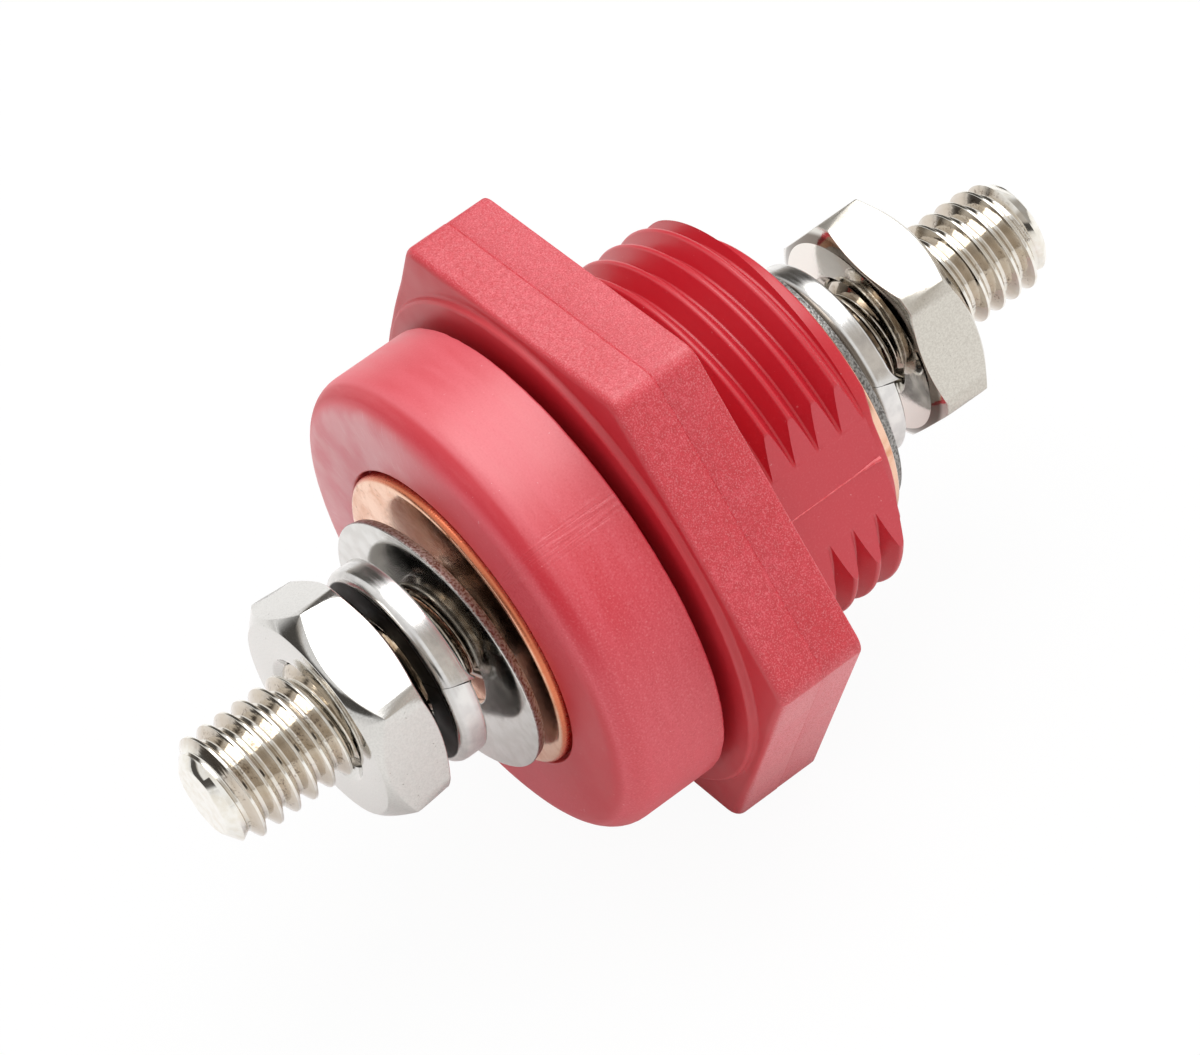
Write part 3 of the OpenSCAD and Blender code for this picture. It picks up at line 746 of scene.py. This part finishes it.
def make_panel_nut(material):
    columns = []
    turns, radii = hexagon(PANEL_AF, PANEL_CORNER, 0.0, 8, 9)
    mouth = PANEL_BORE_R + PANEL_BORE_EDGE
    for turn, big in zip(turns, radii):
        foot = min(PANEL_FACE_R + PANEL_LIP_OUT, big - PANEL_EDGE - PANEL_FOOT_ROOM)
        profile = outline([
            (PANEL_BORE_R, PANEL_FACE_Y + PANEL_BORE_EDGE), (mouth, PANEL_FACE_Y),
            (PANEL_FACE_R - PANEL_LIP_IN, PANEL_FACE_Y, PANEL_LIP_ROUND),
            (foot, PANEL_HEX_Y, PANEL_FOOT_ROUND),
            (big, PANEL_HEX_Y, PANEL_EDGE), (big, PANEL_SEAM_Y - PANEL_SEAM_HALF),
            (big - PANEL_SEAM_DEPTH, PANEL_SEAM_Y),
            (big - PANEL_SEAM_STEP, PANEL_SEAM_Y + PANEL_SEAM_HALF),
            (big - PANEL_SEAM_STEP, PANEL_BACK_Y, PANEL_BACK_EDGE),
            (mouth, PANEL_BACK_Y), (PANEL_BORE_R, PANEL_BACK_Y - PANEL_BORE_EDGE)], 6)
        columns.append(spot(profile[:, 0], turn, profile[:, 1]))
    points = np.array(columns)
    piece("hex_panel_nut", points.reshape(-1, 3), skin(*points.shape[:2]), material,
          "panel_nut", ["panel_nut"], "red_moulding")


def make_nut(name, node, flat_turn, outward, slope, material):
    low, high = span(node)
    inner = low if outward > 0 else high
    columns = []
    turns, radii = hexagon(NUT_AF, NUT_CORNER, flat_turn, 6, 40)
    mouth = NUT_BORE_R + NUT_SINK
    for turn, big in zip(turns, radii):
        heel = min(big, NUT_HEEL_R)
        heel_y = NUT_BACK_SLOPE * (heel - NUT_FACE_R)
        blunt = NUT_HEEL_STEP + NUT_HEEL_T * (big - heel) / (radii.max() - NUT_HEEL_R)
        profile = outline([
            (NUT_BORE_R, NUT_SINK, NUT_ROUND), (mouth, 0, NUT_ROUND),
            (NUT_FACE_R, 0, NUT_SIDE_ROUND), (heel, heel_y, NUT_ROUND), (big, heel_y + blunt),
            (big, NUT_T - slope * (big - NUT_FACE_R), NUT_SIDE_ROUND),
            (NUT_FACE_R, NUT_T, NUT_TOP_ROUND),
            (mouth, NUT_T, NUT_ROUND), (NUT_BORE_R, NUT_T - NUT_SINK, NUT_ROUND)], 3)
        columns.append(spot(profile[:, 0], turn, inner + outward * profile[:, 1]))
    points = np.array(columns)
    piece(name, points.reshape(-1, 3), skin(*points.shape[:2]), material, node, [node], "stainless")


def make_washer(name, node, middle, lean, body, material):
    profile = outline([
        (WASHER_BORE_R, -WASHER_T / 2, WASHER_BORE_ROUND), (WASHER_R, -WASHER_T / 2, WASHER_FRONT_ROUND),
        (WASHER_R - WASHER_TAPER, WASHER_T / 2, WASHER_BACK_ROUND),
        (WASHER_BORE_R, WASHER_T / 2, WASHER_BORE_ROUND)], 4)
    points, faces = lathe(profile)
    c, s = math.cos(math.radians(lean)), math.sin(math.radians(lean))
    x, y = points[:, 0].copy(), points[:, 1].copy()
    points[:, 0], points[:, 1] = x * c - y * s, x * s + y * c + middle
    points += spot(WASHER_DROP, HANG_TURN, 0)
    piece(name, points, faces, material, body, [node], "washer_steel")


def make_lock(name, node, low, high, split_turn, front_round, back_round, body, material):
    thick = high - low
    section = outline([
        (LOCK_BORE_R, 0, LOCK_BORE_ROUND), (LOCK_R, 0, front_round),
        (LOCK_R, thick, back_round), (LOCK_BORE_R, thick, LOCK_BORE_ROUND)], 5)
    slant = LOCK_SLANT * (section[:, 1] / thick - 0.5)
    bent = section[:, 1] > LOCK_TANG_FROM * thick
    points = []
    for part in np.linspace(0, 1, LOCK_STATIONS):
        turn = split_turn + LOCK_SPLIT / 2 + (360 - LOCK_SPLIT) * part
        tang = LOCK_TANG * max(0.0, (part - (1 - LOCK_TANG_PART)) / LOCK_TANG_PART) ** 2
        rise = LOCK_RISE * (part - 0.5) + tang * bent
        points.append(spot(section[:, 0], turn + slant, low + rise + section[:, 1]))
    points = np.array(points) + spot(LOCK_DROP, HANG_TURN, 0)
    piece(name, points.reshape(-1, 3), bar(*points.shape[:2]), material, body, [node], "washer_steel")


def make_pieces():
    housing_red, nut_red = red_housing(), red_grain()
    make_housing(housing_red)
    flash = red_flash()
    make_flash("mould_flash_right", FLAT_TURN, RIGHT_FLASH_SEED, flash)
    make_flash("mould_flash_left", FLAT_TURN + 180, LEFT_FLASH_SEED, flash)
    make_panel_nut(nut_red)
    make_bush(copper())
    make_stud(nickel())
    front = stainless("front_stainless", FRONT_NUT_PALE, FRONT_NUT_DARK, FRONT_NUT_REFLECTION_AND_WEAR)
    back = stainless("back_stainless", BACK_NUT_PALE, BACK_NUT_DARK, BACK_NUT_REFLECTION_AND_WEAR)
    make_nut("front_hex_nut", "front_nut", FRONT_NUT_FLAT, -1, FRONT_NUT_SLOPE, front)
    make_nut("back_hex_nut", "back_nut", BACK_NUT_FLAT, 1, BACK_NUT_SLOPE, back)
    flat = washer_steel()
    make_washer("front_flat_washer", "front_washer", FRONT_WASHER_Y, FRONT_LEAN, "front_washers", flat)
    low, high = span("back_washer")
    make_washer("back_flat_washer", "back_washer", (low + high) / 2 + BACK_WASHER_OFF, 0.0,
                "back_washers", flat)
    ring = lock_steel()
    low, high = span("front_lock")
    make_lock("front_split_ring", "front_lock", low, high - LOCK_INSET, FRONT_SPLIT_TURN,
              *FRONT_LOCK_ROUNDS, "front_washers", ring)
    low, high = span("back_lock")
    make_lock("back_split_ring", "back_lock", low + LOCK_INSET, high - LOCK_INSET, BACK_SPLIT_TURN,
              *BACK_LOCK_ROUNDS, "back_washers", ring)


# ---------------------------------------------------------------- studio

CAMERA_PLACE = (0.2845655, -0.1297449, 0.2967421)
CAMERA_AHEAD = (-0.65738, 0.30943, -0.68710)
CAMERA_UP = (-0.46542, 0.55039, 0.69315)
CAMERA_LENS, CAMERA_SENSOR = 173.03, 36.0
CAMERA_NEAR, CAMERA_FAR = 0.01, 20.0


def make_camera():
    data = bpy.data.cameras.new("camera")
    data.sensor_fit, data.sensor_width, data.lens = "HORIZONTAL", CAMERA_SENSOR, CAMERA_LENS
    data.clip_start, data.clip_end = CAMERA_NEAR, CAMERA_FAR
    obj = bpy.data.objects.new("camera", data)
    back = -Vector(CAMERA_AHEAD).normalized()
    right = Vector(CAMERA_UP).cross(back).normalized()
    up = back.cross(right)
    obj.matrix_world = Matrix.Translation(CAMERA_PLACE) @ Matrix((right, up, back)).transposed().to_4x4()
    bpy.context.scene.collection.objects.link(obj)
    bpy.context.scene.camera = obj


WHITE = (1, 1, 1, 1)
# Brightness of the studio round the stud, as its bright crests mirror it: turn and level.
STUDIO = [
    (-180, 0.8), (-115, 0.8), (-104, 0.72), (-94, 0.52), (-84, 0.36), (-77, 0.12), (-50, 0.07),
    (-45, 0.15), (-38, 0.75), (-30, 1.0), (18, 1.0), (24, 0.72), (31, 0.54), (42, 0.5), (52, 0.6),
    (66, 0.66), (90, 0.6), (110, 0.8), (180, 0.8)]
# The same towards the front, as the nut's bevel and the head's round edge mirror it.
STUDIO_FRONT = [
    (-180, 0.85), (-105, 0.85), (-90, 0.4), (-82, 0.1), (-68, 0.1), (-61, 0.5), (-52, 0.9), (20, 0.9),
    (34, 0.5), (85, 0.5), (105, 0.85), (180, 0.85)]
STUDIO_PLAIN = (0.95, 0.95, 0.95, 1)
STUDIO_LOW = (0.08, 0.075, 0.07, 1)      # the front, just above the floor
STUDIO_BACK = (0.4, 0.38, 0.36, 1)
DIM, DIM_UP_TO = (1.0, 0.93, 0.85), 0.7  # the colour of its dim parts
# Where these parts fade in, by how far a ray looks along the stud, and by how far it looks up.
STUDIO_FROM, STUDIO_TO = (-0.12, 0.02), (0.8, 0.6)
FRONT_FROM, BACK_FROM = (-0.42, -0.66), (0.86, 0.95)
LOW_FROM, LOW_TO = (0.0, 0.06), (0.24, 0.34)


def make_world():
    world = bpy.data.worlds.new("studio")
    bpy.context.scene.world = world
    world.use_nodes = True
    tree = world.node_tree
    tree.nodes.clear()

    def add(kind, values=None, **settings):
        return add_node(tree, kind, values, **settings).outputs

    way = add("ShaderNodeSeparateXYZ", {0: add("ShaderNodeTexCoord")["Generated"]})
    along, up = way["Y"], way["Z"]
    turn = add("ShaderNodeMath", {0: way["X"], 1: up}, operation="ARCTAN2")[0]
    share = add("ShaderNodeMapRange", {"Value": turn, "From Min": -math.pi, "From Max": math.pi})[0]

    def ring(levels):
        ramp = add_node(tree, "ShaderNodeValToRGB", {"Fac": share})
        dots = ramp.color_ramp.elements
        for k, (angle, level) in enumerate(levels):
            place = (angle + 180) / 360
            dot = dots[0] if k == 0 else dots[-1] if k == len(levels) - 1 else dots.new(place)
            dot.position = place
            dot.color = (*(level * (1 if level > DIM_UP_TO else tint) for tint in DIM), 1)
        return ramp.outputs["Color"]

    def soft(value, low, high):
        return add("ShaderNodeMapRange", {"Value": value, "From Min": low, "From Max": high},
                   interpolation_type="SMOOTHSTEP")[0]

    def times(a, b):
        return add("ShaderNodeMath", {0: a, 1: b}, operation="MULTIPLY")[0]

    def mix(factor, a, b):
        return add("ShaderNodeMix", {0: factor, 6: a, 7: b}, data_type="RGBA")[2]

    band = times(soft(along, *STUDIO_FROM), soft(along, *STUDIO_TO))
    around = mix(band, STUDIO_PLAIN, ring(STUDIO))
    front = times(soft(along, *FRONT_FROM), soft(up, *LOW_FROM))
    around = mix(front, around, mix(soft(up, *LOW_TO), STUDIO_LOW, ring(STUDIO_FRONT)))
    around = mix(soft(along, *BACK_FROM), around, STUDIO_BACK)
    light = add("ShaderNodeBackground", {"Color": around, "Strength": 1.0})
    white = add("ShaderNodeBackground", {"Color": WHITE, "Strength": 1.0})
    path = add("ShaderNodeLightPath")
    seen = add("ShaderNodeMixShader", {0: path["Is Camera Ray"], 1: light[0], 2: white[0]})
    add("ShaderNodeOutputWorld", {"Surface": seen[0]})


# The lean is how far the lamp stands towards the back, as a share of its distance.
KEY_LAMP = dict(turn=-8.0, lean=0.31, distance=0.6, width=0.5, height=0.5, watts=2.2)


def make_lamp(name, turn, lean, distance, width, height, watts):
    """A soft box that looks at the middle of the part."""
    data = bpy.data.lights.new(name, "AREA")
    data.shape, data.size, data.size_y, data.energy = "RECTANGLE", width, height, watts
    obj = bpy.data.objects.new(name, data)
    away = Vector(spot(math.sqrt(1 - lean * lean), turn, lean))
    obj.location = away * distance
    obj.rotation_euler = away.to_track_quat("Z", "Y").to_euler()
    obj.visible_camera = False
    bpy.context.scene.collection.objects.link(obj)


FLOOR_Z, FLOOR_SIDE = -22.3 * MM, 3.0
FLOOR_COLOUR = (0.9, 0.9, 0.9, 1)
FLOOR_GLOW, FLOOR_MIRRORED = 0.95, 0.2   # how white the camera sees it, and mirrors next to that


def make_floor():
    mesh = bpy.data.meshes.new("floor")
    side = FLOOR_SIDE
    mesh.from_pydata([(-side, -side, FLOOR_Z), (side, -side, FLOOR_Z), (side, side, FLOOR_Z),
                      (-side, side, FLOOR_Z)], [], [(0, 1, 2, 3)])
    obj = bpy.data.objects.new("floor", mesh)
    bpy.context.scene.collection.objects.link(obj)
    material = bpy.data.materials.new("floor")
    material.use_nodes = True
    tree = material.node_tree
    tree.nodes.clear()

    def add(kind, values=None, **settings):
        return add_node(tree, kind, values, **settings).outputs

    path = add("ShaderNodeLightPath")
    mirrored = add("ShaderNodeMath", {0: path["Is Glossy Ray"], 1: FLOOR_MIRRORED}, operation="MULTIPLY")
    clear = add("ShaderNodeMath", {0: path["Is Camera Ray"], 1: mirrored[0]}, operation="MAXIMUM")
    share = add("ShaderNodeMath", {0: clear[0], 1: FLOOR_GLOW}, operation="MULTIPLY")
    matt = add("ShaderNodeBsdfDiffuse", {"Color": FLOOR_COLOUR})
    glow = add("ShaderNodeEmission", {"Color": WHITE})
    both = add("ShaderNodeMixShader", {0: share[0], 1: matt[0], 2: glow[0]})
    add("ShaderNodeOutputMaterial", {"Surface": both[0]})
    mesh.materials.append(material)


make_pieces()
make_camera()
make_world()
make_lamp("key", **KEY_LAMP)
make_floor()
bpy.context.scene.view_settings.view_transform = "Standard"
